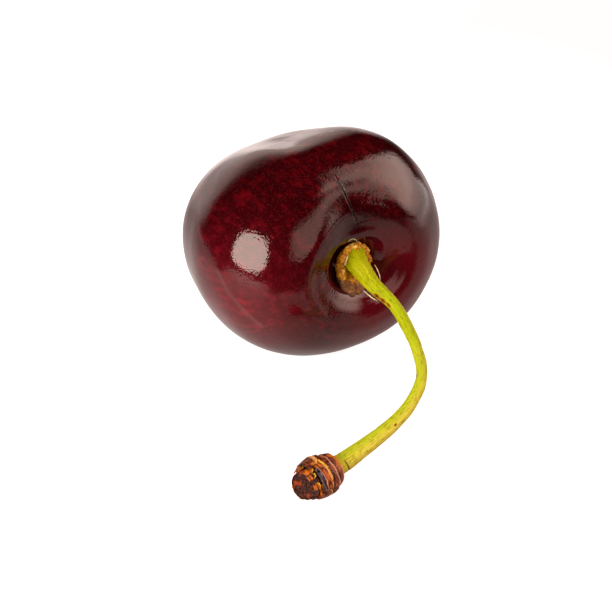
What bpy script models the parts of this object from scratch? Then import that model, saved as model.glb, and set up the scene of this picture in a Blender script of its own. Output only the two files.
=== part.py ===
"""A sweet cherry as picked: the fruit with its stem and the woody spur end that the stem grew from.

The cherry lies on its back, on a small flat spot of its skin, with the suture up. The origin is the
middle of that spot, +Z is up, and the stem comes out towards -Y, bends down and to the left, and ends
with the spur touching the surface. Lengths are in millimetres until a shape is placed, then in metres.
"""
import math

import bmesh
import bpy
from mathutils import Matrix, Vector

MM = 0.001
WELD = 0.001 * MM

# Fruit: how it lies
FRUIT_CENTRE = Vector((-0.87, 1.41, 10.87))
TURN = math.radians(34.5)
TILT = math.radians(12.2)
ROLL = math.radians(2.4)

# Fruit: half-widths at the widest ring, and the skin from the blossom end to the floor of the
# stem cavity, as a share of the half-width and a height along the stem axis
HALF_WIDTH = 13.5
LEFT_CHEEK = 13.2
RIGHT_CHEEK = 14.0
SUTURE_SIDE = 11.8
BACK_SIDE = 11.8
SKIN_OUTLINE = (
    (0.0, -10.95),
    (0.08, -11.1),
    (0.36, -10.45),
    (0.70, -7.95),
    (0.915, -3.3),
    (1.0, 1.9),
    (0.895, 6.7),
    (0.66, 9.95),
    (0.44, 10.8),
    (0.34, 10.0),
    (0.265, 8.8),
    (0.195, 7.6),
    (0.11, 7.2),
    (0.0, 7.15),
)
OUTLINE_STEPS = 3
FRUIT_SPIN_STEPS = 60

# Fruit: what makes it less than round
SUTURE_GROOVE = 0.35
SUTURE_ANGLE = math.radians(9.0)
SUTURE_FLAT = 0.74
FLAT_ANGLE = math.radians(27.4)
SHOULDER_RADIUS = 6.0
SHOULDER_SPREAD = 4.5
SUTURE_DIP = 1.33
BACK_DIP = 0.52
DIP_ANGLE = 0.6
LEAN_RIGHT = 0.052
LEAN_BACK = 0.034
CAVITY_SHIFT = Vector((0.05, -0.45, 0.0))
CAVITY_RADIUS = 5.7
HUG_ANGLE = math.radians(-136.0)
HUG_DEPTH = 0.65
LOW_ANGLE = math.radians(-90.0)
GENTLE_ANGLE = math.radians(50.0)
GENTLE_RISE = 0.9

# Fruit: soft swellings and hollows, as a place on the skin, a height and a spread
SWELLINGS = (
    ((9.2, 8.7, 2.6), 0.33, 4.0),
    ((2.3, 10.6, -1.6), -0.42, 3.5),
    ((-8.6, 5.9, -6.5), 0.18, 4.0),
    ((-12.6, -2.9, 0.4), -0.26, 5.0),
    ((4.7, -8.2, 9.1), 0.34, 4.0),
    ((11.7, 1.5, 8.0), -0.18, 4.5),
)

# Stem: places and radii from its foot in the cavity to the spur
STEM_ROUTE = (
    ((3.95, -4.64, 11.97), 1.28),
    ((4.51, -5.33, 12.36), 1.16),
    ((4.85, -6.27, 12.44), 1.05),
    ((5.48, -7.12, 11.97), 0.92),
    ((6.20, -8.27, 11.68), 0.80),
    ((8.12, -10.40, 10.92), 0.62),
    ((9.48, -12.58, 9.65), 0.59),
    ((10.42, -14.58, 8.34), 0.57),
    ((10.78, -16.66, 6.98), 0.57),
    ((9.90, -18.67, 5.64), 0.62),
    ((8.48, -20.25, 4.58), 0.68),
    ((6.70, -21.65, 3.70), 0.75),
    ((4.80, -22.90, 2.93), 0.85),
    ((3.00, -24.15, 2.36), 0.97),
    ((2.32, -24.63, 2.26), 1.02),
)
STEM_STEPS = 2

# Stem collar: a turned ring about the stem axis, with one flap up the cavity wall
COLLAR_OUTLINE = (
    (1.55, 7.70),
    (1.85, 7.76),
    (2.08, 8.00),
    (2.14, 8.25),
    (2.02, 8.50),
    (1.80, 8.60),
    (1.60, 8.50),
)
COLLAR_SPIN_STEPS = 32
FLAP_ANGLE = math.radians(-156.0)
FLAP_SPREAD = 0.62
FLAP_REACH = 0.35
FLAP_RISE = 1.15

# Spur: a barrel of bark about its own axis, cut off slanted
SPUR_FOOT = Vector((2.20, -24.74, 2.25))
SPUR_AXIS = Vector((-0.761, -0.648, -0.027)).normalized()
SPUR_OUTLINE = (
    (0.0, 0.0),
    (1.02, 0.0),
    (1.18, 0.4),
    (1.45, 1.2),
    (1.56, 2.3),
    (1.52, 3.4),
    (1.50, 5.0),
    (0.0, 5.0),
)
SPUR_SPIN_STEPS = 28
SPUR_LENGTH = 3.67
CUT_SLANT = math.radians(25.0)
CUT_FACING = math.radians(-40.0)

# Bud scales: first and last angle round the spur (0 is up, positive to the back), where the scale
# starts at its base and ends at its free edge, and its outer radius at both
BUD_SCALES = (
    (-165.0, 150.0, 0.95, 0.15, 1.74, 1.46),
    (-150.0, 25.0, 1.85, 1.05, 1.98, 1.90),
    (35.0, 200.0, 1.85, 1.05, 1.98, 1.90),
    (-2.0, 66.0, 3.30, 1.95, 1.92, 2.14),
    (-80.0, -12.0, 2.42, 1.95, 2.02, 2.14),
    (-84.0, -14.0, 2.98, 2.52, 1.92, 2.08),
    (-156.0, -92.0, 3.05, 1.95, 1.98, 2.16),
    (78.0, 192.0, 3.20, 1.95, 1.98, 2.14),
)
SCALE_THICKNESS = 0.20
EDGE_ROUNDING = 0.30
DEGREES_PER_STEP = 9.0


def clear_objects():
    """Start from an empty scene."""
    for thing in list(bpy.data.objects):
        bpy.data.objects.remove(thing, do_unlink=True)


def finish(name, colour, roughness):
    """A plain material of one colour."""
    material = bpy.data.materials.new(name)
    material.use_nodes = True
    shader = material.node_tree.nodes["Principled BSDF"]
    shader.inputs["Base Color"].default_value = (*colour, 1.0)
    shader.inputs["Roughness"].default_value = roughness
    shader.inputs["Metallic"].default_value = 0.0
    return material


def axis_empty(name, matrix):
    """An empty that carries the shapes built along one axis."""
    empty = bpy.data.objects.new(name, None)
    bpy.context.collection.objects.link(empty)
    empty.matrix_world = matrix
    return empty


def add_piece(name, mesh, material, parent):
    """Make one named object from a bmesh in millimetres, smooth where it is round."""
    bmesh.ops.scale(mesh, vec=(MM, MM, MM), verts=mesh.verts)
    data = bpy.data.meshes.new(name)
    mesh.to_mesh(data)
    mesh.free()
    data.shade_smooth()
    data.set_sharp_from_angle(angle=math.radians(50.0))
    data.materials.append(material)
    piece = bpy.data.objects.new(name, data)
    bpy.context.collection.objects.link(piece)
    piece.parent = parent
    return piece


def smooth_curve(points, steps):
    """Points of a curve that passes through all the given ones, with a number of steps between two."""
    points = [Vector(point) for point in points]
    before = [2 * points[0] - points[1], *points]
    after = [*points[1:], 2 * points[-1] - points[-2]]
    curve = []
    for index in range(len(points) - 1):
        start, end = points[index], points[index + 1]
        pull_start = (end - before[index]) / 2
        pull_end = (after[index + 1] - start) / 2
        for step in range(steps):
            t = step / steps
            curve.append(
                (2 * t**3 - 3 * t**2 + 1) * start
                + (t**3 - 2 * t**2 + t) * pull_start
                + (3 * t**2 - 2 * t**3) * end
                + (t**3 - t**2) * pull_end
            )
    curve.append(points[-1])
    return curve


def turned(outline, steps, angle=2 * math.pi, closed=False):
    """Turn an outline of radii and heights about Z."""
    mesh = bmesh.new()
    corners = [mesh.verts.new((radius, 0.0, height)) for radius, height in outline]
    sides = list(zip(corners, corners[1:]))
    if closed:
        sides.append((corners[-1], corners[0]))
    edges = [mesh.edges.new(pair) for pair in sides]
    full_turn = angle == 2 * math.pi
    bmesh.ops.spin(
        mesh,
        geom=corners + edges,
        cent=(0, 0, 0),
        axis=(0, 0, 1),
        angle=angle,
        steps=steps,
        use_merge=full_turn,
    )
    bmesh.ops.remove_doubles(mesh, verts=mesh.verts, dist=WELD / MM)
    bmesh.ops.recalc_face_normals(mesh, faces=mesh.faces)
    return mesh


def bump(distance, spread):
    """A soft bump of height 1."""
    return math.exp(-((distance / spread) ** 2))


def smooth_step(value):
    """0 below 0, 1 above 1, smooth between."""
    value = min(max(value, 0.0), 1.0)
    return value * value * (3 - 2 * value)


def turn_between(angle, other):
    """The smaller turn from one angle to another."""
    return (angle - other + math.pi) % (2 * math.pi) - math.pi


def cut_flat(mesh, point, normal):
    """Cut away what lies on the normal's side of a plane, and close the cut."""
    geometry = [*mesh.verts, *mesh.edges, *mesh.faces]
    cut = bmesh.ops.bisect_plane(
        mesh,
        geom=geometry,
        dist=WELD / MM,
        plane_co=point,
        plane_no=normal,
        clear_outer=True,
    )
    rim = [item for item in cut["geom_cut"] if isinstance(item, bmesh.types.BMEdge)]
    bmesh.ops.contextual_create(mesh, geom=rim)
    bmesh.ops.recalc_face_normals(mesh, faces=mesh.faces)


def grown_skin(point):
    """Move a point of the round fruit to where the grown, uneven fruit has it.

    The angle is 0 at the suture (+Y) and positive towards the right cheek (+X).
    """
    radius = math.hypot(point.x, point.y)
    angle = math.atan2(point.x, point.y)
    height = point.z
    share = min(radius / HALF_WIDTH, 1.0)
    stem_end = smooth_step((height - 2) / 4)
    groove_length = min(max((height + 9) / 8, 0.0), 1.0)

    groove = SUTURE_GROOVE * bump(angle, SUTURE_ANGLE) * groove_length
    groove *= 1 - 0.9 * smooth_step((height + 1) / 5)
    flat = SUTURE_FLAT * bump(angle, FLAT_ANGLE)
    radius -= (groove + flat) * share
    ring = share * HALF_WIDTH
    radius -= HUG_DEPTH * bump(turn_between(angle, HUG_ANGLE), 1.1) * bump(ring - 3.9, 1.0) * stem_end

    from_back = math.pi - abs(angle)
    dip = SUTURE_DIP * bump(angle, DIP_ANGLE) + BACK_DIP * bump(from_back, DIP_ANGLE)
    dip *= smooth_step((ring - 3.0) / 2.8)
    shoulder = bump(ring - SHOULDER_RADIUS, SHOULDER_SPREAD)
    lower = 0.55 * bump(ring - 5.8, 1.3) + 0.35 * bump(ring - 3.4, 0.6)
    gentle = GENTLE_RISE * bump(turn_between(angle, GENTLE_ANGLE), 1.4) * bump(ring - 3.1, 1.1)
    height -= (shoulder * dip + lower * bump(turn_between(angle, LOW_ANGLE), 1.1) - gentle) * stem_end

    across = RIGHT_CHEEK if point.x > 0 else LEFT_CHEEK
    along = SUTURE_SIDE if point.y > 0 else BACK_SIDE
    grown = Vector((
        radius * math.sin(angle) * across / HALF_WIDTH + LEAN_RIGHT * height,
        radius * math.cos(angle) * along / HALF_WIDTH - LEAN_BACK * height,
        height,
    ))
    in_cavity = smooth_step(1 - ring / CAVITY_RADIUS) * stem_end
    grown += CAVITY_SHIFT * in_cavity
    outward = grown.normalized()
    swell = sum(rise * bump((grown - Vector(place)).length, spread) for place, rise, spread in SWELLINGS)
    return grown + outward * swell


def build_fruit(axis):
    """Skin and flesh in one: turned, grown uneven, and cut level where it rests."""
    outline = [(point.x, point.y) for point in smooth_curve(SKIN_OUTLINE, OUTLINE_STEPS)]
    mesh = turned([(share * HALF_WIDTH, height) for share, height in outline], FRUIT_SPIN_STEPS)
    for vertex in mesh.verts:
        vertex.co = grown_skin(vertex.co)
    to_axis = axis.matrix_world.inverted()
    table = to_axis @ Vector((0, 0, 0)) / MM
    down = to_axis.to_3x3() @ Vector((0, 0, -1))
    cut_flat(mesh, table, down)
    add_piece("fruit", mesh, finish("cherry_skin", (0.075, 0.003, 0.006), 0.18), axis)


def build_collar(axis):
    """The corky ring round the foot of the stem, with its flap."""
    mesh = turned(COLLAR_OUTLINE, COLLAR_SPIN_STEPS, closed=True)
    hole = COLLAR_OUTLINE[0][0]
    reach = max(radius for radius, height in COLLAR_OUTLINE) - hole
    for vertex in mesh.verts:
        radius = math.hypot(vertex.co.x, vertex.co.y)
        angle = math.atan2(vertex.co.x, vertex.co.y)
        flap = bump(angle - FLAP_ANGLE, FLAP_SPREAD) * (radius - hole) / reach
        vertex.co += flap * FLAP_REACH * Vector((math.sin(angle), math.cos(angle), 0))
        vertex.co.z += flap * FLAP_RISE
        lean = Vector((LEAN_RIGHT, -LEAN_BACK, 0)) * vertex.co.z
        vertex.co += lean + CAVITY_SHIFT
    add_piece("stem_collar", mesh, finish("corky_collar", (0.25, 0.10, 0.02), 0.75), axis)


def build_stem():
    """One tapering tube along the stem's route."""
    route = smooth_curve([place for place, radius in STEM_ROUTE], STEM_STEPS)
    radii = smooth_curve([(radius, 0, 0) for place, radius in STEM_ROUTE], STEM_STEPS)
    curve = bpy.data.curves.new("stem", "CURVE")
    curve.dimensions = "3D"
    curve.bevel_depth = MM
    curve.bevel_resolution = 3
    curve.use_fill_caps = True
    curve.materials.append(finish("green_stem", (0.45, 0.50, 0.02), 0.45))
    spline = curve.splines.new("POLY")
    spline.points.add(len(route) - 1)
    for point, place, radius in zip(spline.points, route, radii):
        point.co = (*(place * MM), 1.0)
        point.radius = radius.x
    bpy.context.collection.objects.link(bpy.data.objects.new("stem", curve))


def build_spur_knob(axis):
    """The woody end of the spur: a turned barrel, cut off slanted."""
    mesh = turned(SPUR_OUTLINE, SPUR_SPIN_STEPS)
    facing = Vector((math.cos(CUT_FACING), math.sin(CUT_FACING), 0))
    cut_normal = math.cos(CUT_SLANT) * Vector((0, 0, 1)) + math.sin(CUT_SLANT) * facing
    cut_flat(mesh, Vector((0, 0, SPUR_LENGTH)), cut_normal)
    add_piece("spur_knob", mesh, finish("spur_bark", (0.09, 0.03, 0.018), 0.8), axis)


def build_bud_scales(axis):
    """Thin plates that wrap the spur, each with a rounded free edge towards the stem."""
    material = finish("bud_scale", (0.13, 0.05, 0.04), 0.65)
    for number, row in enumerate(BUD_SCALES, start=1):
        first, last, base, edge, base_radius, edge_radius = row
        middle = ((base_radius + edge_radius) / 2, (base + edge) / 2)
        outline = [(base_radius, base), middle, (edge_radius, edge)]
        span = math.radians(last - first)
        mesh = turned(outline, max(6, round((last - first) / DEGREES_PER_STEP)), angle=span)
        for vertex in mesh.verts:
            across = 2 * (math.atan2(vertex.co.y, vertex.co.x) % (2 * math.pi)) / span - 1
            free = (base - vertex.co.z) / (base - edge)
            vertex.co.z += EDGE_ROUNDING * min(base - edge, 1.0) * across**4 * free
        bmesh.ops.rotate(mesh, matrix=Matrix.Rotation(math.radians(first), 3, "Z"), verts=mesh.verts)
        scale = add_piece(f"bud_scale_{number}", mesh, material, axis)
        thickness = scale.modifiers.new("thickness", "SOLIDIFY")
        thickness.thickness = SCALE_THICKNESS * MM


def build_cherry():
    clear_objects()
    lie = (
        Matrix.Rotation(TURN, 4, "Z")
        @ Matrix.Rotation(math.pi / 2 - TILT, 4, "X")
        @ Matrix.Rotation(ROLL, 4, "Z")
    )
    fruit_axis = axis_empty("fruit_axis", Matrix.Translation(FRUIT_CENTRE * MM) @ lie)
    build_fruit(fruit_axis)
    build_collar(fruit_axis)
    build_stem()

    up = (Vector((0, 0, 1)) - SPUR_AXIS.z * SPUR_AXIS).normalized()
    spur_turn = Matrix((up, SPUR_AXIS.cross(up), SPUR_AXIS)).transposed().to_4x4()
    spur_axis = axis_empty("spur_axis", Matrix.Translation(SPUR_FOOT * MM) @ spur_turn)
    build_spur_knob(spur_axis)
    build_bud_scales(spur_axis)


build_cherry()
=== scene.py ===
"""The looks of a sweet cherry as picked, lying on its back: skin, stem, corky collar and scaly spur."""
import math
import random

import bpy
import numpy as np
from mathutils import Matrix, Vector


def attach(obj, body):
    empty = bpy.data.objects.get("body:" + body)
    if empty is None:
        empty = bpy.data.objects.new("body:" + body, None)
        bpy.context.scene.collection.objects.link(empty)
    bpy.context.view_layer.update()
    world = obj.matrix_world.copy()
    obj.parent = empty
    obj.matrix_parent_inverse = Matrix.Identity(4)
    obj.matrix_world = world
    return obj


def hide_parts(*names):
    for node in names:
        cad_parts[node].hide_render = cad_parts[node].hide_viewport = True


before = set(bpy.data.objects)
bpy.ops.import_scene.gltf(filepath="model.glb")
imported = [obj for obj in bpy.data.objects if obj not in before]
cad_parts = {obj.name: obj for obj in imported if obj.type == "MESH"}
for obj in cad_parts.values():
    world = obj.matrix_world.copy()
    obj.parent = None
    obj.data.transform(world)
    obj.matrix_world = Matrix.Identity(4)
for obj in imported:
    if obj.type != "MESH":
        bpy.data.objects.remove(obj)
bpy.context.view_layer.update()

# --- Fruit -----------------------------------------------------------------------------------------
# The fruit grew in one piece: taut, waxy, nearly black-red skin over flesh. It has a suture down one
# side, split open a little near the stem, a pit that the stem grows out of, and the small dry scar of
# the flower at the far end. It is drawn as an outline, spun, and then grown uneven.
mm = 0.001
fruit_centre = Vector((-0.87, 1.41, 10.87))
fruit_lies = (
    Matrix.Rotation(math.radians(34.5), 4, "Z")
    @ Matrix.Rotation(math.radians(90 - 12.2), 4, "X")
    @ Matrix.Rotation(math.radians(2.4), 4, "Z")
)
half_width = 13.5
left_cheek, right_cheek, suture_side, back_side = 13.2, 14.0, 11.8, 11.8
skin_outline = (
    (0.0, -10.95),
    (0.08, -11.1),
    (0.36, -10.45),
    (0.70, -7.95),
    (0.915, -3.3),
    (1.0, 1.9),
    (0.895, 6.7),
    (0.66, 9.95),
    (0.44, 10.8),
    (0.34, 10.0),
    (0.265, 8.8),
    (0.195, 7.6),
    (0.11, 7.2),
    (0.0, 7.15),
)
swellings = (
    ((9.2, 8.7, 2.6), 0.33, 4.0),
    ((2.3, 10.6, -1.6), -0.42, 3.5),
    ((-8.6, 5.9, -6.5), 0.18, 4.0),
    ((-12.6, -2.9, 0.4), -0.26, 5.0),
    ((4.7, -8.2, 9.1), 0.34, 4.0),
    ((11.7, 1.5, 8.0), -0.18, 4.5),
)
groove_depth, groove_half_angle = 0.35, math.radians(9.0)
flat_depth, flat_half_angle = 0.74, math.radians(27.4)
shoulder_ring, shoulder_width = 6.0, 4.5
suture_dip, back_dip, dip_half_angle = 1.33, 0.52, 0.6
hug_side, hug_depth = math.radians(-136), 0.65
sunken_side, sunken_depth, inner_depth = math.radians(-90), 0.55, 0.35
gentle_side, gentle_rise = math.radians(50), 0.9
lean_x, lean_y = 0.052, -0.034
pit_shift = (0.05, -0.45, 0.0)
split_start, split_end, split_half_width = 5.4, 11.3, 0.100
split_depth, lip_rise = 0.22, 0.02
fold_route = ((-12.45, 2.6, 3.8), (-12.3, 0.6, 4.8), (-11.6, -1.5, 6.2), (-10.6, -3.3, 7.2))
fold_rise = 0.07
flower_end = (0, 0, -10.95)
# The skin is redder round two spots, on the left cheek and low down: the spot, how far it spreads, and how
# much.
left_redder_spot, left_redder_spread, left_redder_share = (-11.0, -1.4, 5.0), 6.5, 0.92
low_redder_spot, low_redder_spread, low_redder_share = (1.0, -10.5, 4.0), 7.5, 0.55
pit_blush, pit_blush_reach, pit_blush_fade = (4.0, -4.0, 8.0), 9.0, 5.0
fine_middle = math.radians(3)
fine_angle = math.radians(14)
fine_steps = 66
coarse_steps = 348


def take(thing):
    """Deselect everything, then select one object and make it the active one."""
    if bpy.context.object and bpy.context.object.mode != "OBJECT":
        bpy.ops.object.mode_set(mode="OBJECT")
    bpy.ops.object.select_all(action="DESELECT")
    thing.select_set(True)
    bpy.context.view_layer.objects.active = thing


def soft_spline(data, knots):
    """Give a curve one smooth spline through the knots, each a place and a radius."""
    spline = data.splines.new("BEZIER")
    spline.bezier_points.add(len(knots) - 1)
    for point, (place, radius) in zip(spline.bezier_points, knots):
        point.co = place
        point.radius = radius
        point.handle_left_type = "AUTO"
        point.handle_right_type = "AUTO"


def drawn(name, data):
    """Make a curve a mesh object, selected alone."""
    line = bpy.data.objects.new(name, data)
    bpy.context.collection.objects.link(line)
    take(line)
    bpy.ops.object.convert(target="MESH")
    return bpy.context.object


def drawn_line(name, points, resolution):
    """An edge chain on a smooth curve through the points."""
    data = bpy.data.curves.new(name, "CURVE")
    data.dimensions = "3D"
    data.resolution_u = resolution
    soft_spline(data, [(point, 1.0) for point in points])
    return drawn(name, data)


def spun(way, *spins):
    """Spin the active mesh about the Z axis, each spin going on from where the last one ended."""
    bpy.ops.object.mode_set(mode="EDIT")
    bpy.ops.mesh.select_all(action="SELECT")
    for steps, angle in spins:
        bpy.ops.mesh.spin(steps=steps, angle=angle, center=(0, 0, 0), axis=(0, 0, way))
    bpy.ops.object.mode_set(mode="OBJECT")


def close_up(thing, distance):
    """Merge doubles and turn every face outwards."""
    take(thing)
    bpy.ops.object.mode_set(mode="EDIT")
    bpy.ops.mesh.select_all(action="SELECT")
    bpy.ops.mesh.remove_doubles(threshold=distance)
    bpy.ops.mesh.normals_make_consistent(inside=False)
    bpy.ops.object.mode_set(mode="OBJECT")


def places(thing):
    """The vertices' places as an array of rows."""
    flat = np.empty(len(thing.data.vertices) * 3)
    thing.data.vertices.foreach_get("co", flat)
    return flat.reshape(-1, 3)


def move_to(thing, rows):
    """Put the vertices at the rows' places."""
    thing.data.vertices.foreach_set("co", rows.ravel())
    thing.data.update()


def rest_on_table(thing):
    """Press flat whatever reaches below the table's top."""
    rows = places(thing)
    rows[:, 2] = np.maximum(rows[:, 2], 0)
    move_to(thing, rows)


def paint(thing, name, values):
    """Keep one number for each vertex, for a material to read."""
    layer = thing.data.attributes.new(name, "FLOAT", "POINT")
    layer.data.foreach_set("value", np.ascontiguousarray(values, dtype=np.float32))


def bump(distance, spread):
    """A soft bump of height 1."""
    return np.exp(-((distance / spread) ** 2))


def smooth_step(value):
    """0 below 0, 1 above 1, smooth between."""
    value = np.clip(value, 0.0, 1.0)
    return value * value * (3 - 2 * value)


def from_spot(rows, spot):
    """How far each row is from a spot."""
    return np.linalg.norm(rows - np.array(spot), axis=1)


def turn_from(angle, side):
    """The angle from one side of the fruit, between minus and plus half a turn."""
    return (angle - side + math.pi) % (2 * math.pi) - math.pi


def uneven(thing, size, depth):
    """Make a surface uneven with a cloudy displacement, and apply it."""
    cloud = bpy.data.textures.new(f"{thing.name}_uneven", "CLOUDS")
    cloud.noise_scale = size
    take(thing)
    bpy.ops.object.modifier_add(type="DISPLACE")
    displace = thing.modifiers[-1]
    displace.texture = cloud
    displace.texture_coords = "LOCAL"
    displace.strength = depth
    displace.mid_level = 0.5
    bpy.ops.object.modifier_apply(modifier=displace.name)


def grown(rows):
    """Move the points of the round fruit to where the uneven one has them, as the frame's fruit is.

    The angle is 0 at the suture (+Y) and positive towards the right cheek (+X).
    """
    radius = np.hypot(rows[:, 0], rows[:, 1])
    angle = np.arctan2(rows[:, 0], rows[:, 1])
    height = rows[:, 2].copy()
    share = np.minimum(radius / half_width, 1.0)
    ring = share * half_width
    across = np.where(rows[:, 0] > 0, right_cheek, left_cheek) / half_width
    along = np.where(rows[:, 1] > 0, suture_side, back_side) / half_width
    stem_end = smooth_step((height - 2) / 4)

    groove = groove_depth * bump(angle, groove_half_angle) * np.clip((height + 9) / 8, 0, 1)
    groove *= 1 - 0.9 * smooth_step((height + 1) / 5)
    flat = flat_depth * bump(angle, flat_half_angle)
    shoulder = bump(ring - shoulder_ring, shoulder_width) * stem_end
    dip = suture_dip * bump(angle, dip_half_angle) + back_dip * bump(math.pi - np.abs(angle), dip_half_angle)
    dip *= smooth_step((ring - 3.0) / 2.8)

    radius = radius - (groove + flat) * share
    radius = radius - hug_depth * bump(turn_from(angle, hug_side), 1.1) * bump(ring - 3.9, 1.0) * stem_end
    sunken = sunken_depth * bump(ring - 5.8, 1.3) + inner_depth * bump(ring - 3.4, 0.6)
    sunken = sunken * bump(turn_from(angle, sunken_side), 1.1)
    gentle = gentle_rise * bump(turn_from(angle, gentle_side), 1.4) * bump(ring - 3.1, 1.1)
    height = height - shoulder * dip - (sunken - gentle) * stem_end

    round_x = radius * np.sin(angle) * across
    round_y = radius * np.cos(angle) * along
    in_pit = smooth_step(1 - ring / 5.7) * stem_end
    grown_rows = np.stack([round_x + lean_x * height, round_y + lean_y * height, height], axis=1)
    grown_rows = grown_rows + in_pit[:, None] * np.array(pit_shift)
    outward = grown_rows / np.linalg.norm(grown_rows, axis=1)[:, None]
    for place, amount, spread in swellings:
        swelling = amount * bump(from_spot(grown_rows, place), spread)
        grown_rows = grown_rows + outward * swelling[:, None]
    return grown_rows


def split_marks(rows):
    """Where the skin is split along the suture, from the shoulder into the pit, and its raised lip."""
    radius = np.hypot(rows[:, 0], rows[:, 1])
    angle = np.arctan2(rows[:, 0], rows[:, 1])
    wander = math.radians(0.22) * np.sin(radius * 2.6) + math.radians(0.12) * np.sin(radius * 6.1 + 1)
    slant = math.radians(0.5) + math.radians(6.5) * smooth_step((8.4 - radius) / 4.0)
    aside = (angle - slant - wander) * radius
    here = smooth_step((radius - split_start) / 0.6) * smooth_step((split_end - radius) / 0.7)
    here = here * (rows[:, 2] > 4)
    broken = np.clip(0.95 + 0.5 * np.sin(radius * 9.0) * np.sin(radius * 4.3 + 0.7), 0, 1)
    gap = np.clip((split_half_width - np.abs(aside)) / 0.04, 0, 1)
    return gap * broken * here, bump(aside + 0.13, 0.05) * here


def fold_marks(rows):
    """How near each row is to the fold in the skin of the left cheek."""
    knots = np.array(fold_route)
    distance = np.full(len(rows), 99.0)
    for start, end in zip(knots, knots[1:]):
        run = end - start
        share = np.clip((rows - start) @ run / (run @ run), 0, 1)
        distance = np.minimum(distance, np.linalg.norm(rows - start - share[:, None] * run, axis=1))
    return distance


fine_start = math.pi / 2 - fine_middle - fine_angle / 2
to_side = Vector((math.cos(fine_start), math.sin(fine_start), 0)) * half_width
fruit_line = [share * to_side + Vector((0, 0, height)) for share, height in skin_outline]
fruit = drawn_line("cherry_fruit", fruit_line, 16)
spun(-1, (fine_steps, fine_angle), (coarse_steps, 2 * math.pi - fine_angle))
close_up(fruit, 0.0005)

round_rows = places(fruit)
split, lip = split_marks(round_rows)
paint(fruit, "split", split)
paint(fruit, "lip", lip)
paint(fruit, "flower_scar", bump(from_spot(round_rows, flower_end), 0.42))
rows = grown(round_rows)
to_fold = fold_marks(rows)
outward = rows / np.linalg.norm(rows, axis=1)[:, None]
rows = rows + outward * (fold_rise * bump(to_fold, 0.32) + lip_rise * lip - split_depth * split)[:, None]
# The fold's mark, for a paler line along it: partly the crease's own colour, partly a painted highlight on
# its ridge.
paint(fruit, "fold", bump(to_fold, 0.2))
on_left = left_redder_share * bump(from_spot(rows, left_redder_spot), left_redder_spread)
on_low = low_redder_share * bump(from_spot(rows, low_redder_spot), low_redder_spread)
paint(fruit, "blush", np.maximum(on_left, on_low))
paint(fruit, "pit", smooth_step((pit_blush_reach - from_spot(rows, pit_blush)) / pit_blush_fade))
move_to(fruit, rows)
fruit.data.transform(Matrix.Scale(mm, 4) @ Matrix.Translation(fruit_centre) @ fruit_lies)
uneven(fruit, 7 * mm, 0.16 * mm)
uneven(fruit, 2.2 * mm, 0.018 * mm)
rest_on_table(fruit)
take(fruit)
bpy.ops.object.shade_smooth()


def fill(tree, socket, value):
    """Link or fill one socket: a colour gets its fourth number."""
    if isinstance(value, bpy.types.NodeSocket):
        tree.links.new(value, socket)
    elif socket.type == "RGBA" and len(value) == 3:
        socket.default_value = (*value, 1.0)
    else:
        socket.default_value = value


def put(tree, kind, sockets=None, **settings):
    """Add a shader node, set it up, and link or fill its sockets."""
    node = tree.nodes.new("ShaderNode" + kind)
    for name, value in settings.items():
        setattr(node, name, value)
    for name, value in (sockets or {}).items():
        fill(tree, node.inputs[name], value)
    return node


def ramp(tree, factor, low, high):
    """0 at low, 1 at high, smooth between."""
    sockets = {"Value": factor, "From Min": low, "From Max": high}
    return put(tree, "MapRange", sockets, interpolation_type="SMOOTHSTEP").outputs["Result"]


def blend(tree, factor, first, second):
    """Mix two colours."""
    return put(tree, "Mix", {0: factor, 6: first, 7: second}, data_type="RGBA").outputs[2]


def sums(tree, operation, first, second=0.0):
    """One sum on one or two numbers."""
    return put(tree, "Math", {0: first, 1: second}, operation=operation).outputs[0]


def times(tree, first, *others):
    """The numbers multiplied."""
    for other in others:
        first = sums(tree, "MULTIPLY", first, other)
    return first


def plus(tree, first, *others):
    """The numbers added."""
    for other in others:
        first = sums(tree, "ADD", first, other)
    return first


def noise(tree, place, scale, detail):
    """A soft random pattern."""
    return put(tree, "TexNoise", {"Vector": place, "Scale": scale, "Detail": detail}).outputs["Fac"]


def drawn_out(tree, place, scale):
    """The place, made larger or smaller along its axes."""
    return put(tree, "Mapping", {"Vector": place, "Scale": scale}).outputs["Vector"]


def own_axes(tree, origin, turn):
    """The place in a piece's own axes."""
    place = put(tree, "TexCoord").outputs["Object"]
    sockets = {"Vector": place, "Location": origin * mm, "Rotation": turn.to_euler()}
    return put(tree, "Mapping", sockets, vector_type="TEXTURE").outputs["Vector"]


def read(tree, name):
    """A painted number."""
    return put(tree, "Attribute", attribute_name=name).outputs["Fac"]


def new_finish(name):
    """An empty material with its tree and its shader."""
    finish = bpy.data.materials.new(name)
    finish.use_nodes = True
    tree = finish.node_tree
    return finish, tree, tree.nodes["Principled BSDF"]


def roughen(tree, shader, height, distance):
    """Give the shader a bumpy surface."""
    bumps = put(tree, "Bump", {"Height": height, "Strength": 1.0, "Distance": distance})
    tree.links.new(bumps.outputs["Normal"], shader.inputs["Normal"])


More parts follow.
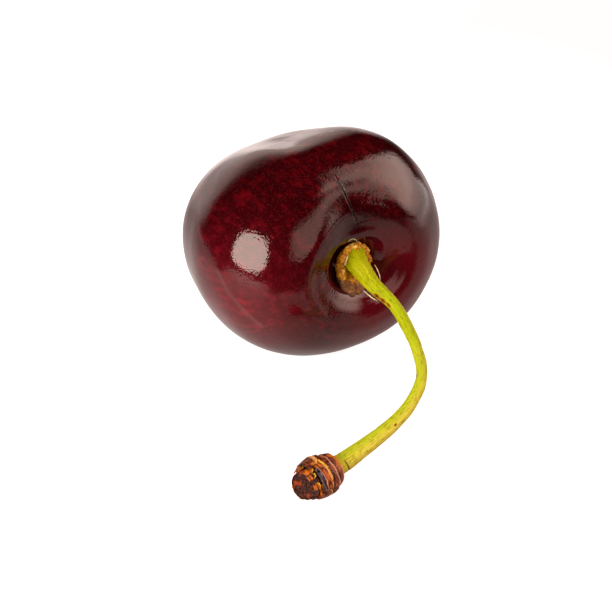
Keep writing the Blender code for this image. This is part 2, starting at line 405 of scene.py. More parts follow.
def skin_finish():
    """Dark red skin: paler flecks in lines from end to end, a fine grain in the wax, and the split."""
    nearly_black, dark_red = (0.011, 0.0001, 0.0005), (0.018, 0.0001, 0.0008)
    redder_ground_red, pit_red = (0.100, 0.0020, 0.0060), (0.072, 0.0018, 0.0048)
    fleck_red, redder_fleck_red = (0.056, 0.0002, 0.0014), (0.165, 0.0040, 0.0110)
    freckle_and_sheen_pink, fold_pale_and_highlight, lip_pale_and_highlight = (0.10, 0.014, 0.014), (0.17, 0.07, 0.06), (0.24, 0.12, 0.10)
    split_shade_black, scar_brown = (0.004, 0.001, 0.001), (0.16, 0.085, 0.035)

    finish, tree, shader = new_finish("cherry_skin")
    place = own_axes(tree, fruit_centre, fruit_lies)
    broad = noise(tree, place, 160.0, 2.0)
    flecks = noise(tree, drawn_out(tree, place, (1.0, 1.0, 0.45)), 1500.0, 1.5)
    freckle_and_sheen_grain = noise(tree, place, 5200.0, 1.0)
    fleck_mask = times(tree, ramp(tree, flecks, 0.42, 0.78), ramp(tree, broad, 0.25, 0.62))
    blush = read(tree, "blush")
    ground = blend(tree, ramp(tree, broad, 0.35, 0.7), nearly_black, dark_red)
    # Redder towards the left cheek and low down.
    ground = blend(tree, times(tree, blush, 0.85), ground, redder_ground_red)
    ground = blend(tree, times(tree, read(tree, "pit"), 0.75), ground, pit_red)
    colour = blend(tree, fleck_mask, ground, blend(tree, blush, fleck_red, redder_fleck_red))
    # Fine pale freckles: partly speckle in the skin, partly a painted speckle of sheen.
    colour = blend(tree, times(tree, ramp(tree, freckle_and_sheen_grain, 0.50, 0.70), 0.18), colour, freckle_and_sheen_pink)
    # Paler along the fold: partly the crease's own colour, partly a painted highlight on its ridge.
    colour = blend(tree, times(tree, read(tree, "fold"), 0.3), colour, fold_pale_and_highlight)
    # Paler on the split's raised lip: partly the lip's own colour, partly a painted highlight on it.
    colour = blend(tree, times(tree, read(tree, "lip"), 0.2), colour, lip_pale_and_highlight)
    split = read(tree, "split")
    # Black in the split's narrow gap: painted shade.
    colour = blend(tree, ramp(tree, split, 0.05, 0.5), colour, split_shade_black)
    scar = read(tree, "flower_scar")
    colour = blend(tree, ramp(tree, scar, 0.25, 0.6), colour, scar_brown)
    tree.links.new(colour, shader.inputs["Base Color"])

    grain = noise(tree, place, 4200.0, 1.5)
    swell = noise(tree, place, 1500.0, 1.0)
    roughen(tree, shader, plus(tree, grain, times(tree, swell, 0.8)), 0.000013)
    rough = plus(tree, times(tree, scar, 0.5), 0.075, times(tree, split, 0.4))
    tree.links.new(rough, shader.inputs["Roughness"])
    shader.inputs["IOR"].default_value = 1.42
    shader.inputs["Specular Tint"].default_value = (1.0, 0.86, 0.80, 1.0)
    return finish


fruit.data.materials.clear()
fruit.data.materials.append(skin_finish())
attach(fruit, "root")
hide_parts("fruit")

# --- Stem ------------------------------------------------------------------------------------------
# A fresh, yellow-green stem that fills out into a ribbed foot at the fruit and thickens again towards
# the spur, where a thin ring marks the place that it breaks from. It was scraped once, and the scrape
# has dried brown. It is a tube along a route, ribbed afterwards.
stem_route = (
    ((3.95, -4.35, 12.75), 1.38),
    ((4.36, -5.12, 12.62), 1.27),
    ((4.85, -6.27, 12.44), 1.05),
    ((5.48, -7.12, 11.97), 0.92),
    ((6.20, -8.27, 11.68), 0.80),
    ((8.12, -10.40, 10.92), 0.62),
    ((9.48, -12.58, 9.65), 0.59),
    ((10.42, -14.58, 8.34), 0.57),
    ((10.78, -16.66, 6.98), 0.57),
    ((9.90, -18.67, 5.64), 0.62),
    ((8.48, -20.25, 4.58), 0.68),
    ((6.70, -21.65, 3.70), 0.75),
    ((4.80, -22.90, 2.93), 0.85),
    ((3.00, -24.15, 2.36), 0.97),
    ((2.32, -24.63, 2.26), 1.02),
)
steps_between_knots = 16
stem_sides = 48
foot_reach = 3.2
# Ribs: height, extra height at the foot, how many, where they start, and how much they twist.
stem_ribs = (
    (0.020, 0.030, 7, 0.9, 0.10),
    (0.014, 0.022, 13, -0.6, 0.22),
    (0.010, 0.0, 23, 0.0, 0.5),
)
ring_from_end = 0.72
ring_faces = (0.5, -0.75, -0.2)
shaded_side = (0.45, -0.45, -0.77)
# Scrapes: place along the stem, the way they face, and half their length and width.
scrapes = (
    (5.9, (-0.60, -0.79, -0.10), 0.40, 0.25),
    (6.7, (-0.57, -0.81, -0.06), 0.45, 0.27),
    (7.6, (-0.50, -0.86, 0.04), 0.42, 0.30),
    (2.3, (-0.70, -0.60, -0.15), 0.40, 0.06),
    (2.9, (-0.60, -0.70, -0.05), 0.45, 0.05),
    (9.4, (0.1, -0.788, 0.6), 0.20, 0.14),
    (15.9, (-0.95, -0.1, 0.1), 0.35, 0.20),
    (21.5, (0.25, -0.788, 0.5), 0.16, 0.14),
)


def tube(name, route, steps, sides):
    """A closed round tube on a smooth curve through the route's places, as thick as it says at each."""
    data = bpy.data.curves.new(name, "CURVE")
    data.dimensions = "3D"
    data.resolution_u = steps
    data.bevel_depth = 1.0
    data.bevel_resolution = (sides - 4) // 2
    data.use_fill_caps = True
    soft_spline(data, route)
    piece = drawn(name, data)
    close_up(piece, 0.0005)
    return piece


middle = drawn_line("stem_middle", [place for place, radius in stem_route], steps_between_knots)
middle_rows = places(middle).copy()
bpy.data.objects.remove(middle, do_unlink=True)
run = np.concatenate([[0], np.cumsum(np.linalg.norm(np.diff(middle_rows, axis=0), axis=1))])
heading = np.gradient(middle_rows, run, axis=0)
heading /= np.linalg.norm(heading, axis=1)[:, None]

stem = tube("cherry_stem", stem_route, steps_between_knots, stem_sides)
rows = places(stem)
nearest = np.argmin(np.linalg.norm(rows[:, None] - middle_rows[None], axis=2), axis=1)
offset = rows - middle_rows[nearest]
radius = np.linalg.norm(offset, axis=1)
facing_out = offset / np.maximum(radius, 0.001)[:, None]
top = np.array([0, 0, 1.0]) - heading[nearest, 2:3] * heading[nearest]
top /= np.linalg.norm(top, axis=1)[:, None]
side = np.cross(heading[nearest], top)
around = np.arctan2((facing_out * side).sum(axis=1), (facing_out * top).sum(axis=1))
along = run[nearest]
length = run[-1]

foot = bump(along, foot_reach)
ribs = np.zeros(len(rows))
for height, foot_height, count, start, twist in stem_ribs:
    ribs += (height + foot_height * foot) * np.sin(count * around + start + twist * along)
from_ring = along - (length - ring_from_end + 0.10 * np.cos(around - 0.8))
break_ring = bump(from_ring, 0.09)
beyond_ring = smooth_step(from_ring / 0.25)
scraped = np.zeros(len(rows))
for place, facing, half_length, half_wide in scrapes:
    facing = np.array(facing) / np.linalg.norm(facing)
    aside = radius * np.arccos(np.clip(facing_out @ facing, -1, 1))
    scraped = np.maximum(scraped, bump(along - place, half_length) * bump(aside, half_wide))
factor = 1 + ribs - 0.05 * break_ring - 0.03 * beyond_ring - 0.14 * np.clip(scraped, 0, 1)
move_to(stem, middle_rows[nearest] + offset * factor[:, None])
straight = np.stack([radius * np.cos(around), radius * np.sin(around), along], axis=1) * mm
stem.data.attributes.new("straight", "FLOAT_VECTOR", "POINT").data.foreach_set("vector", straight.ravel())
paint(stem, "along", along / length)
paint(stem, "low_side", facing_out @ np.array(shaded_side))
paint(stem, "scraped", scraped)
paint(stem, "break_ring", break_ring * smooth_step((facing_out @ np.array(ring_faces) - 0.1) / 0.4))
paint(stem, "beyond_ring", beyond_ring)
stem.data.transform(Matrix.Scale(mm, 4))
uneven(stem, 1.6 * mm, 0.07 * mm)
uneven(stem, 0.35 * mm, 0.02 * mm)
take(stem)
bpy.ops.object.shade_smooth()


def stem_finish():
    """Yellow-green, yellower and then orange towards the spur and below, with fine lengthwise grooves."""
    young_green, old_yellow, green_top = (0.30, 0.31, 0.0004), (0.50, 0.40, 0.042), (0.27, 0.32, 0.0004)
    foot_green, low_orange = (0.33, 0.315, 0.0006), (0.46, 0.22, 0.003)
    dash_olive, groove_yellow = (0.19, 0.15, 0.0008), (0.56, 0.48, 0.010)
    end_ochre, ring_brown = (0.44, 0.34, 0.008), (0.10, 0.06, 0.005)
    scrape_rust, scrape_black = (0.22, 0.055, 0.002), (0.045, 0.006, 0.001)

    finish, tree, shader = new_finish("green_stem")
    straight = put(tree, "Attribute", attribute_name="straight").outputs["Vector"]
    grooves = noise(tree, drawn_out(tree, straight, (1.0, 1.0, 0.09)), 5200.0, 2.0)
    dashes = noise(tree, drawn_out(tree, straight, (1.0, 1.0, 0.3)), 6500.0, 1.0)
    patches = noise(tree, straight, 650.0, 3.0)
    along = read(tree, "along")
    low_side = read(tree, "low_side")

    age = ramp(tree, plus(tree, along, times(tree, patches, 0.25)), 0.45, 0.85)
    colour = blend(tree, age, young_green, old_yellow)
    colour = blend(tree, times(tree, ramp(tree, low_side, 0.2, -0.8), 0.75), colour, green_top)
    colour = blend(tree, ramp(tree, along, 0.22, 0.10), colour, foot_green)
    orange = times(tree, ramp(tree, low_side, 0.60, 1.05), ramp(tree, patches, 0.35, 0.6))
    colour = blend(tree, orange, colour, low_orange)
    colour = blend(tree, times(tree, ramp(tree, dashes, 0.52, 0.68), 0.65), colour, dash_olive)
    colour = blend(tree, times(tree, ramp(tree, grooves, 0.55, 0.72), 0.4), colour, groove_yellow)
    colour = blend(tree, times(tree, read(tree, "beyond_ring"), 0.6), colour, end_ochre)
    colour = blend(tree, ramp(tree, read(tree, "break_ring"), 0.3, 0.8), colour, ring_brown)
    torn = plus(tree, read(tree, "scraped"), times(tree, patches, 0.3))
    colour = blend(tree, ramp(tree, torn, 0.38, 0.55), colour, scrape_rust)
    colour = blend(tree, ramp(tree, torn, 0.68, 0.85), colour, scrape_black)
    tree.links.new(colour, shader.inputs["Base Color"])
    roughen(tree, shader, plus(tree, grooves, times(tree, dashes, -0.5)), 0.00006)
    shader.inputs["Roughness"].default_value = 0.5
    shader.inputs["Specular IOR Level"].default_value = 0.06
    shader.inputs["Subsurface Weight"].default_value = 0.25
    shader.inputs["Subsurface Radius"].default_value = (1.0, 0.9, 0.2)
    shader.inputs["Subsurface Scale"].default_value = 0.0004
    return finish


stem.data.materials.clear()
stem.data.materials.append(stem_finish())
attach(stem, "root")
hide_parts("stem")

# --- Collar ----------------------------------------------------------------------------------------
# The dried ring that the flower left round the foot of the stem: lumpy, corky, orange-brown, with one
# brown lobe that lies up the wall of the pit. It is a ring about the fruit's axis, pulled into shape.
collar_radius = 1.55
collar_half_width = 0.53
collar_height = 8.10
collar_aside = (0.20, -0.42)
lobe_angle = math.radians(-149)
lobe_spread, lobe_rise, lobe_reach = 0.80, 1.15, 1.10
crest_angle, crest_spread, crest_rise = 0.1, 0.8, 0.35
bpy.ops.object.select_all(action="DESELECT")
bpy.ops.mesh.primitive_torus_add(
    major_radius=collar_radius, minor_radius=collar_half_width, major_segments=180, minor_segments=36
)
collar = bpy.context.object
collar.name = "cherry_stem_collar"
rows = places(collar)
ring_radius = np.hypot(rows[:, 0], rows[:, 1])
angle = np.arctan2(rows[:, 0], rows[:, 1])
outwards = (ring_radius - collar_radius + collar_half_width) / (2 * collar_half_width)
lobe = np.exp(-((turn_from(angle, lobe_angle) / lobe_spread) ** 4)) * outwards
lumps = 0.10 * np.sin(7 * angle + 1) + 0.07 * np.sin(12 * angle + 0.4) + 0.05 * np.sin(19 * angle)
crest = bump(angle - crest_angle, crest_spread) * outwards
rows[:, 2] += collar_height + lobe_rise * lobe + crest_rise * crest + lumps * (rows[:, 2] > 0)
rows[:, 0] += (lobe_reach * lobe + crest_rise * crest) * np.sin(angle)
rows[:, 1] += (lobe_reach * lobe + crest_rise * crest) * np.cos(angle)
rows[:, 0] += lean_x * rows[:, 2] + collar_aside[0]
rows[:, 1] += lean_y * rows[:, 2] + collar_aside[1]
move_to(collar, rows)
paint(collar, "lobe", lobe)
paint(collar, "rim", smooth_step((outwards - 0.75) / 0.25))
collar.data.transform(Matrix.Scale(mm, 4) @ Matrix.Translation(fruit_centre) @ fruit_lies)
uneven(collar, 0.7 * mm, 0.22 * mm)
uneven(collar, 0.22 * mm, 0.14 * mm)
close_up(collar, 0.000001)
bpy.ops.object.shade_smooth()


def collar_finish():
    """Cork: orange-brown with pale crests, browner on the lobe, nearly black at its rim."""
    cork_orange, cork_light, crest_pale = (0.34, 0.090, 0.002), (0.78, 0.31, 0.008), (0.90, 0.56, 0.12)
    lobe_dark, lobe_light, rim_black = (0.15, 0.048, 0.012), (0.30, 0.115, 0.028), (0.025, 0.008, 0.004)

    finish, tree, shader = new_finish("corky_collar")
    place = put(tree, "TexCoord").outputs["Object"]
    grains = noise(tree, place, 4200.0, 3.0)
    patches = noise(tree, place, 1500.0, 2.0)
    lobe = read(tree, "lobe")
    colour = blend(tree, ramp(tree, grains, 0.40, 0.60), cork_orange, cork_light)
    colour = blend(tree, ramp(tree, patches, 0.56, 0.68), colour, crest_pale)
    brown = blend(tree, ramp(tree, grains, 0.4, 0.65), lobe_dark, lobe_light)
    colour = blend(tree, ramp(tree, lobe, 0.25, 0.5), colour, brown)
    edge = times(tree, read(tree, "rim"), ramp(tree, lobe, 0.1, 0.5), 0.8)
    colour = blend(tree, edge, colour, rim_black)
    tree.links.new(colour, shader.inputs["Base Color"])
    roughen(tree, shader, grains, 0.00012)
    shader.inputs["Roughness"].default_value = 0.5
    shader.inputs["Specular IOR Level"].default_value = 0.25
    return finish


collar.data.materials.append(collar_finish())
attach(collar, "root")
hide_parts("stem_collar")

# --- Dry threads -----------------------------------------------------------------------------------
# A pale thread of the flower that dried on the collar, and a strip of peel that stands off the stem
# beside its scrape. Two more pale threads, one over the collar and one at the stem's foot, stand in
# for glints there: painted highlights. Each is a thin tube that tapers to both ends: a route and half
# its thickness.
threads = (
    (
        "cherry_dry_thread_1",
        ((6.33, -6.07, 12.67), (6.62, -6.65, 12.41), (6.81, -7.20, 12.19), (6.88, -7.81, 11.90)),
        0.045,
    ),
    (
        # A pale thread over the collar that stands in for a glint: a painted highlight.
        "cherry_glint_thread_2",
        ((3.58, -5.74, 15.20), (3.83, -5.53, 15.35), (4.24, -5.27, 15.26), (4.66, -5.12, 14.74)),
        0.04,
    ),
    (
        # A pale sliver at the stem's foot that stands in for a glint: a painted highlight.
        "cherry_glint_thread_3",
        ((3.64, -6.06, 13.81), (3.48, -6.30, 13.35), (3.31, -6.53, 12.90)),
        0.085,
    ),
    (
        "cherry_stem_peel",
        ((5.16, -8.42, 11.14), (5.60, -8.90, 11.06), (6.04, -9.37, 10.94), (6.56, -9.73, 10.84)),
        0.055,
    ),
)
thread_taper = 0.35


def thread_finish():
    """Ivory, a little glossy."""
    ivory, dry_brown = (0.72, 0.60, 0.38), (0.42, 0.26, 0.12)

    finish, tree, shader = new_finish("dry_thread")
    patches = noise(tree, put(tree, "TexCoord").outputs["Object"], 2600.0, 2.0)
    colour = blend(tree, ramp(tree, patches, 0.4, 0.65), ivory, dry_brown)
    tree.links.new(colour, shader.inputs["Base Color"])
    shader.inputs["Roughness"].default_value = 0.35
    return finish


pale_thread = thread_finish()
for name, route, thickness in threads:
    tapers = [thread_taper, *([1.0] * (len(route) - 2)), thread_taper]
    thread = tube(name, [(place, thickness * taper) for place, taper in zip(route, tapers)], 8, 12)
    thread.data.transform(Matrix.Scale(mm, 4))
    uneven(thread, 0.4 * mm, 0.03 * mm)
    take(thread)
    bpy.ops.object.shade_smooth()
    thread.data.materials.clear()
    thread.data.materials.append(pale_thread)
    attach(thread, "root")

# --- Spur knob -------------------------------------------------------------------------------------
# The short woody spur that bore the stem: a barrel of rough bark, broken off slanted at its far end,
# where the dark wood shows. It is turned about its own axis, cut, and roughened.
spur_foot = Vector((2.20, -24.74, 2.25))
spur_axis = Vector((-0.761, -0.648, -0.027)).normalized()
spur_up = (Vector((0, 0, 1)) - spur_axis.z * spur_axis).normalized()
spur_turn = Matrix((spur_up, spur_axis.cross(spur_up), spur_axis)).transposed().to_4x4()
spur_place = Matrix.Scale(mm, 4) @ Matrix.Translation(spur_foot) @ spur_turn
spur_length = 3.67
cut_slant = math.radians(25)
cut_facing = math.radians(-40)
cut_hollow = 0.10
rim_rise = 0.10
bark_outline = (
    (0.0, 0.0),
    (0.6, 0.0),
    (1.02, 0.08),
    (1.18, 0.4),
    (1.45, 1.2),
    (1.56, 2.3),
    (1.52, 3.4),
    (1.50, 5.0),
)
knob = drawn_line("cherry_spur_knob", [(radius, 0, height) for radius, height in bark_outline], 6)
spun(1, (64, 2 * math.pi))
close_up(knob, 0.0005)
cut_normal = Vector((
    math.sin(cut_slant) * math.cos(cut_facing),
    math.sin(cut_slant) * math.sin(cut_facing),
    math.cos(cut_slant),
))
bpy.ops.object.mode_set(mode="EDIT")
bpy.ops.mesh.select_all(action="SELECT")
bpy.ops.mesh.bisect(plane_co=(0, 0, spur_length), plane_no=cut_normal, use_fill=True, clear_outer=True)
bpy.ops.object.mode_set(mode="OBJECT")
bpy.ops.object.modifier_add(type="REMESH")
knob.modifiers[-1].voxel_size = 0.045
bpy.ops.object.modifier_apply(modifier=knob.modifiers[-1].name)
rows = places(knob)
below_cut = (np.array([0, 0, spur_length]) - rows) @ np.array(cut_normal)
across = np.hypot(rows[:, 0], rows[:, 1])
cut_face = smooth_step((0.16 - below_cut) / 0.12) * smooth_step((1.50 - across) / 0.12)
rim = bump(below_cut, 0.35) * smooth_step((across - 1.36) / 0.1)
turn = np.arctan2(rows[:, 1], rows[:, 0])
rough = 0.10 * np.sin(5 * turn + 3 * rows[:, 2]) + 0.06 * np.sin(11 * turn - 5 * rows[:, 2] + 1)
rows[:, :2] *= (1 + 0.35 * rough * smooth_step(rows[:, 2] / 1.0) * (1 - cut_face))[:, None]
hollow = cut_face * (cut_hollow + 0.06 * np.sin(3.1 * rows[:, 0] + 1) * np.sin(3.7 * rows[:, 1]))
rows -= (hollow - rim_rise * rim)[:, None] * np.array(cut_normal)
move_to(knob, rows)
paint(knob, "cut_face", cut_face)
knob.data.transform(spur_place)
uneven(knob, 0.9 * mm, 0.22 * mm)
uneven(knob, 0.28 * mm, 0.12 * mm)
rest_on_table(knob)
close_up(knob, 0.000001)
bpy.ops.object.shade_smooth()


def spur_coordinates(tree):
    """The place on the spur, with Z along its axis, plain and drawn out round the spur."""
    own = own_axes(tree, spur_foot, spur_turn)
    return own, drawn_out(tree, own, (0.25, 0.25, 1.0))


def bark_finish():
    """Dark brown bark with rust-red and orange patches, and darker wood where it broke."""
    bark_dark, bark_light, bark_orange = (0.026, 0.004, 0.001), (0.11, 0.020, 0.004), (0.36, 0.075, 0.002)
    wood_dark, wood_light, wood_red = (0.010, 0.0020, 0.0012), (0.068, 0.012, 0.004), (0.22, 0.026, 0.002)

    finish, tree, shader = new_finish("spur_bark")
    own, ringwise = spur_coordinates(tree)
    grains = noise(tree, own, 4500.0, 4.0)
    patches = noise(tree, own, 900.0, 2.0)
    fibres = noise(tree, ringwise, 2600.0, 2.0)
    colour = blend(tree, ramp(tree, fibres, 0.35, 0.65), bark_dark, bark_light)
    colour = blend(tree, ramp(tree, patches, 0.55, 0.66), colour, bark_orange)
    wood = blend(tree, ramp(tree, grains, 0.38, 0.66), wood_dark, wood_light)
    wood = blend(tree, ramp(tree, patches, 0.56, 0.70), wood, wood_red)
    colour = blend(tree, read(tree, "cut_face"), colour, wood)
    tree.links.new(colour, shader.inputs["Base Color"])
    roughen(tree, shader, grains, 0.00010)
    shader.inputs["Roughness"].default_value = 0.5
    shader.inputs["Specular IOR Level"].default_value = 0.12
    return finish


knob.data.materials.append(bark_finish())
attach(knob, "root")
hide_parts("spur_knob")

# --- Bud scales ------------------------------------------------------------------------------------
# Dry papery scales of the old bud, wrapped round the spur in overlapping plates, each with a ragged
# free edge towards the stem. Each is a line turned part of the way round, thickened and crumpled.
dark_brown = (0.090, 0.016, 0.003)
rust = (0.17, 0.030, 0.003)
# The grey-mauve of the sixth scale is partly its own colour and partly a painted sheen.
mauve_sheen = (0.052, 0.030, 0.031)
# The pink of the free edges is partly the scales' own colour and partly a painted highlight on their edges.
pink_edge_and_highlight = (0.56, 0.20, 0.11)
pale_tip = (0.62, 0.28, 0.08)
# A row: the first and last angle round the spur (0 is up), the base and the free edge along it, the
# radius at both, and the colours of both.
bud_scales = (
    (-165, 150, 0.95, 0.15, 1.74, 1.46, dark_brown, pink_edge_and_highlight),
    (-150, 25, 1.85, 1.05, 1.98, 1.90, dark_brown, pink_edge_and_highlight),
    (35, 200, 1.85, 1.05, 1.98, 1.90, dark_brown, rust),
    (-2, 66, 3.30, 1.95, 1.92, 2.14, dark_brown, pale_tip),
    (-80, -12, 2.42, 1.95, 2.02, 2.14, rust, pale_tip),
    (-84, -14, 2.98, 2.52, 1.92, 2.08, mauve_sheen, pink_edge_and_highlight),
    (-156, -92, 3.05, 1.95, 1.78, 1.98, dark_brown, pale_tip),
    (78, 192, 3.20, 1.95, 1.98, 2.14, rust, pink_edge_and_highlight),
)
scale_thickness = 0.17
corner_turn_back = 0.30
raggedness = 0.22


def wrapped_plate(name, first, last, base, edge, base_radius, edge_radius, thickness, seed):
    """A thin crumpled plate round part of the spur, with a rounded and ragged free edge."""
    dice = random.Random(seed)
    middle = ((base_radius + edge_radius) / 2 + 0.04, 0, (base + edge) / 2)
    plate = drawn_line(name, [(base_radius, 0, base), middle, (edge_radius, 0, edge)], 8)
    span = math.radians(last - first)
    spun(-1, (max(10, round((last - first) / 2)), span))
    close_up(plate, 0.0005)
    rows = places(plate)
    turn = np.arctan2(rows[:, 1], rows[:, 0]) % (2 * math.pi)
    turn = np.where(turn > (span + 2 * math.pi) / 2, 0, turn)
    across = 2 * turn / span - 1
    free = np.clip((base - rows[:, 2]) / (base - edge), 0, 1)
    ragged = np.zeros(len(rows))
    for teeth in (4, 9, 17, 31, 53):
        ragged += dice.uniform(0.3, 0.5) / teeth**0.8 * np.sin(teeth * turn * 2.3 + dice.uniform(0, 6.3))
    rows[:, 2] += free * (corner_turn_back * min(base - edge, 1.0) * across**4 + raggedness * ragged)
    veins = 0.012 * np.sin(26 * turn + dice.uniform(0, 6.3))
    veins = veins + 0.008 * np.sin(47 * turn + dice.uniform(0, 6.3))
    rows[:, :2] *= (1 + (veins + 0.03 * ragged * free) / edge_radius)[:, None]
    move_to(plate, rows)
    paint(plate, "free", free)
    plate.data.transform(Matrix.Rotation(math.radians(first), 4, "Z"))
    take(plate)
    bpy.ops.object.modifier_add(type="SOLIDIFY")
    plate.modifiers[-1].thickness = thickness
    plate.modifiers[-1].offset = 0
    bpy.ops.object.modifier_apply(modifier=plate.modifiers[-1].name)
    plate.data.transform(spur_place)
    uneven(plate, 0.6 * mm, 0.12 * mm)
    uneven(plate, 0.2 * mm, 0.05 * mm)
    rest_on_table(plate)
    close_up(plate, 0.000001)
    bpy.ops.object.shade_smooth()
    return plate


def scale_finish(name, colour, edge_colour):
    """A dry scale: streaked round the spur, paler at the free edge, a little glossy."""
    torn_orange = (0.42, 0.10, 0.003)
    dark = tuple(0.12 * part for part in colour)
    light = tuple(min(1.0, 2.2 * part) for part in colour)

    finish, tree, shader = new_finish(name)
    own, ringwise = spur_coordinates(tree)
    streaks = noise(tree, ringwise, 6000.0, 3.0)
    patches = noise(tree, own, 1000.0, 2.0)
    body = blend(tree, ramp(tree, streaks, 0.36, 0.64), dark, light)
    edge = plus(tree, read(tree, "free"), times(tree, patches, 0.5))
    # The free edge takes the edge colour; where that is the pink one, it is partly a painted highlight.
    body = blend(tree, ramp(tree, edge, 0.95, 1.22), body, edge_colour)
    body = blend(tree, ramp(tree, patches, 0.62, 0.7), body, torn_orange)
    tree.links.new(body, shader.inputs["Base Color"])
    roughen(tree, shader, streaks, 0.00012)
    shader.inputs["Roughness"].default_value = 0.35
    shader.inputs["Specular IOR Level"].default_value = 0.2
    return finish


for number, row in enumerate(bud_scales, start=1):
    piece = wrapped_plate(f"cherry_bud_scale_{number}", *row[:6], scale_thickness, number)
    piece.data.materials.append(scale_finish(f"bud_scale_{number}", *row[6:]))
    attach(piece, "root")
    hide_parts(f"bud_scale_{number}")

# --- Torn bark -------------------------------------------------------------------------------------
# Shreds of orange inner bark, left standing where the outer bark tore off round the broken end and
# between the scales. They are made as the scales are, from rows with the same six numbers.
inner_bark = (0.21, 0.045, 0.001)
bark_tip = (0.85, 0.42, 0.03)
shred_thickness = 0.14
first_seed = 40
shreds = (
    (-34, -17, 3.95, 3.10, 1.58, 1.74),
    (-13, 8, 3.85, 2.85, 1.56, 1.70),
    (-72, -50, 3.85, 3.15, 1.60, 1.72),
    (-70, 12, 2.75, 1.75, 1.90, 2.02),
    (24, 70, 3.90, 3.2, 1.62, 1.74),
    (120, 165, 3.70, 2.9, 1.64, 1.80),
    (-112, -64, 3.25, 1.60, 1.66, 1.86),
)
for number, row in enumerate(shreds, start=1):
    piece = wrapped_plate(f"cherry_torn_bark_{number}", *row, shred_thickness, first_seed + number)
    piece.data.materials.append(scale_finish(f"torn_bark_{number}", inner_bark, bark_tip))
    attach(piece, "root")

# --- Studio ----------------------------------------------------------------------------------------
# A white table, one round lamp in front on the left, a large soft panel on the right and behind, a
# dimmer one beside it, and a pale wall behind on the left, in a dark room. To the eye the table and
# the room are white. The glossy skin mirrors the bright and dark parts of both, which are set here.
look_at = Vector((-0.60, -3.14, 5.05)) * mm
camera_height = math.radians(38)
camera_distance = 0.179
camera_data = bpy.data.cameras.new("camera")
camera_data.lens = 100
camera_data.sensor_width = 36
camera_data.clip_start = 0.01
camera_data.clip_end = 20
camera = bpy.data.objects.new("camera", camera_data)
bpy.context.collection.objects.link(camera)
camera_back = Vector((0, -math.cos(camera_height), math.sin(camera_height)))
camera.location = look_at + camera_distance * camera_back
camera.rotation_euler = camera_back.to_track_quat("Z", "Y").to_euler()
bpy.context.scene.camera = camera


def distance_to(tree, place, spot):
    """How far the place is from a spot."""
    return put(tree, "VectorMath", {0: place, 1: spot}, operation="DISTANCE").outputs["Value"]


def towards(tree, way, other):
    """How much one way goes the other way: 1 when both are the same."""
    return put(tree, "VectorMath", {0: way, 1: other}, operation="DOT_PRODUCT").outputs["Value"]


def minus(tree, first, second):
    """The second number taken from the first."""
    return sums(tree, "SUBTRACT", first, second)


bpy.ops.mesh.primitive_circle_add(vertices=64, radius=3, fill_type="NGON", location=(0, 0, 0))
table = bpy.context.object
table.name = "table"
table_dark, table_white, glow_pink = (0.02, 0.02, 0.02), (0.44, 0.39, 0.38), (1.0, 0.86, 0.82)
table_finish, tree, shader = new_finish("white_table")
place = put(tree, "TexCoord").outputs["Object"]
spot = put(tree, "SeparateXYZ", {"Vector": place}).outputs
outwards = put(tree, "VectorMath", {0: place}, operation="NORMALIZE").outputs["Vector"]
to_middle = distance_to(tree, place, (0.010, 0.020, 0.0))
behind = towards(tree, outwards, (-0.39, 0.92, 0.0))

# The white of the table that lights the cherry: round it and far behind, with a shaded spot in front.
white_part = sums(tree, "MAXIMUM", ramp(tree, to_middle, 0.110, 0.088), ramp(tree, behind, 0.74, 0.93))
lit = sums(tree, "MAXIMUM", ramp(tree, spot["Y"], -0.085, -0.035), ramp(tree, spot["X"], -0.005, -0.030))
lit = times(tree, lit, ramp(tree, distance_to(tree, place, (0.052, -0.056, 0.0)), 0.016, 0.034))
dark_sector = ramp(tree, towards(tree, outwards, (0.485, 0.875, 0.0)), 0.955, 0.985)
dark_sector = times(tree, dark_sector, times(tree, ramp(tree, to_middle, 0.030, 0.050), 0.7))
lit = times(tree, lit, minus(tree, 1.0, dark_sector))
colour = blend(tree, times(tree, white_part, lit), table_dark, table_white)
tree.links.new(colour, shader.inputs["Base Color"])
shader.inputs["Roughness"].default_value = 0.9
shader.inputs["Specular IOR Level"].default_value = 0.0

# The glows that only the gloss mirrors: in front on the left, far on the right, and far behind.
right_part = ramp(tree, towards(tree, place, (0.85, 0.55, 0.0)), 0.050, 0.108)
right_part = times(tree, right_part, ramp(tree, towards(tree, outwards, (0.996, 0.087, 0.0)), 0.70, 0.77))
to_box = ramp(tree, towards(tree, outwards, (0.906, 0.423, 0.0)), 0.86, 0.93)
right_part = times(tree, right_part, sums(tree, "MAXIMUM", ramp(tree, to_middle, 0.19, 0.13), to_box))
far_left = times(tree, ramp(tree, behind, 0.70, 0.90), ramp(tree, spot["Y"], 0.035, 0.060))
strip = times(tree, ramp(tree, spot["X"], -0.046, -0.030), ramp(tree, spot["X"], -0.004, -0.018))
far_front = ramp(tree, towards(tree, outwards, (0.423, -0.906, 0.0)), 0.80, 0.87)
far_front = times(tree, far_front, ramp(tree, spot["Y"], -0.040, -0.056), ramp(tree, to_middle, 0.105, 0.080))
glows = (
    (ramp(tree, distance_to(tree, place, (-0.079, -0.084, 0.0)), 0.060, 0.012), 3.1),
    (ramp(tree, distance_to(tree, place, (-0.040, -0.048, 0.0)), 0.036, 0.008), 0.70),
    (right_part, 1.85),
    (far_left, 0.50),
    (times(tree, strip, far_left), 0.75),
    (far_front, 0.45),
    (ramp(tree, distance_to(tree, place, (-0.030, -0.012, 0.0)), 0.036, 0.016), 0.34),
    (ramp(tree, to_middle, 0.062, 0.045), 0.05),
)
glow = plus(tree, *[times(tree, part, strength) for part, strength in glows])
light_path = put(tree, "LightPath").outputs
mirrored = light_path["Is Glossy Ray"]
seen_white = minus(tree, 1.05, times(tree, white_part, 0.25))
strength = plus(tree, times(tree, light_path["Is Camera Ray"], seen_white), times(tree, mirrored, glow))
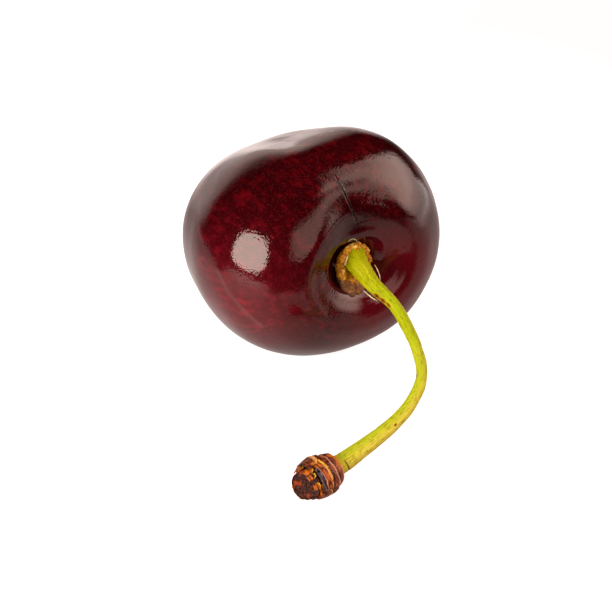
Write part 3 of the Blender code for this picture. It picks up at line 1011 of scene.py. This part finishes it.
tree.links.new(strength, shader.inputs["Emission Strength"])
tree.links.new(blend(tree, mirrored, (1.0, 1.0, 1.0), glow_pink), shader.inputs["Emission Color"])
table.data.materials.append(table_finish)


def toward(around, above):
    """The direction from the cherry, with the angle around 0 at the camera and positive to the right."""
    around, above = math.radians(around), math.radians(above)
    return Vector((math.sin(around) * math.cos(above), -math.cos(around) * math.cos(above), math.sin(above)))


lamp_distance = 0.6
lamp_size = 0.41
lamp_way = toward(-47, 20)
lamp_brightness = 12.5
round_data = bpy.data.lights.new("round_light", "AREA")
round_data.shape = "DISK"
round_data.size = lamp_size
round_data.energy = lamp_brightness * math.pi * (math.pi / 4 * lamp_size**2)
round_data.color = (1.0, 0.95, 0.90)
round_light = bpy.data.objects.new("round_light", round_data)
round_light.location = look_at + lamp_distance * lamp_way
round_light.rotation_euler = lamp_way.to_track_quat("Z", "Y").to_euler()
round_light.visible_camera = False
bpy.context.collection.objects.link(round_light)

# The room that the gloss mirrors: the wall, the soft panel and the dimmer one, by the angle around in
# degrees, as in toward, and by the height of the way, from 0 at the horizon to 1 overhead.
room = bpy.data.worlds.new("room")
bpy.context.scene.world = room
room.use_nodes = True
tree = room.node_tree
room_way = put(tree, "TexCoord").outputs["Generated"]
way = put(tree, "SeparateXYZ", {"Vector": room_way}).outputs
up = way["Z"]
around = sums(tree, "DEGREES", sums(tree, "ARCTAN2", way["X"], times(tree, way["Y"], -1.0)))
wall = ramp(tree, towards(tree, room_way, (-0.454, 0.891, 0.0)), 0.80, 0.95)
wall = times(tree, wall, ramp(tree, up, 0.62, 0.18))
near_edge = ramp(tree, around, 68.0, 94.0)
soft_panel = times(
    tree,
    near_edge,
    ramp(tree, around, 147.0, 142.0),
    minus(tree, 4.4, times(tree, ramp(tree, around, 108.0, 142.0), 1.7)),
    ramp(tree, up, 0.93, 0.87),
    minus(tree, 1.0, times(tree, ramp(tree, up, 0.58, 0.78), 0.35)),
    plus(tree, 0.5, times(tree, ramp(tree, up, 0.02, 0.30), 0.5)),
)
low_edge = minus(tree, up, times(tree, ramp(tree, around, 46.0, 54.0), 0.21))
dim_panel = times(tree, ramp(tree, around, 5.0, 20.0), minus(tree, 1.0, near_edge))
dim_panel = times(tree, dim_panel, times(tree, ramp(tree, low_edge, 0.27, 0.36), ramp(tree, up, 0.80, 0.66)))
room_light = tree.nodes["Background"]
room_light.inputs["Color"].default_value = (1.35, 1.02, 0.92, 1)
strength = plus(tree, wall, times(tree, dim_panel, 1.8), soft_panel, 0.003)
tree.links.new(strength, room_light.inputs["Strength"])
white = put(tree, "Background", {"Color": (1, 1, 1, 1), "Strength": 0.95})
light_path = put(tree, "LightPath").outputs
seen_or_lit = sums(tree, "MAXIMUM", light_path["Is Camera Ray"], light_path["Is Diffuse Ray"])
mixed = put(tree, "MixShader", {0: seen_or_lit, 1: room_light.outputs[0], 2: white.outputs[0]})
tree.links.new(mixed.outputs[0], tree.nodes["World Output"].inputs["Surface"])
bpy.context.scene.view_settings.view_transform = "Standard"
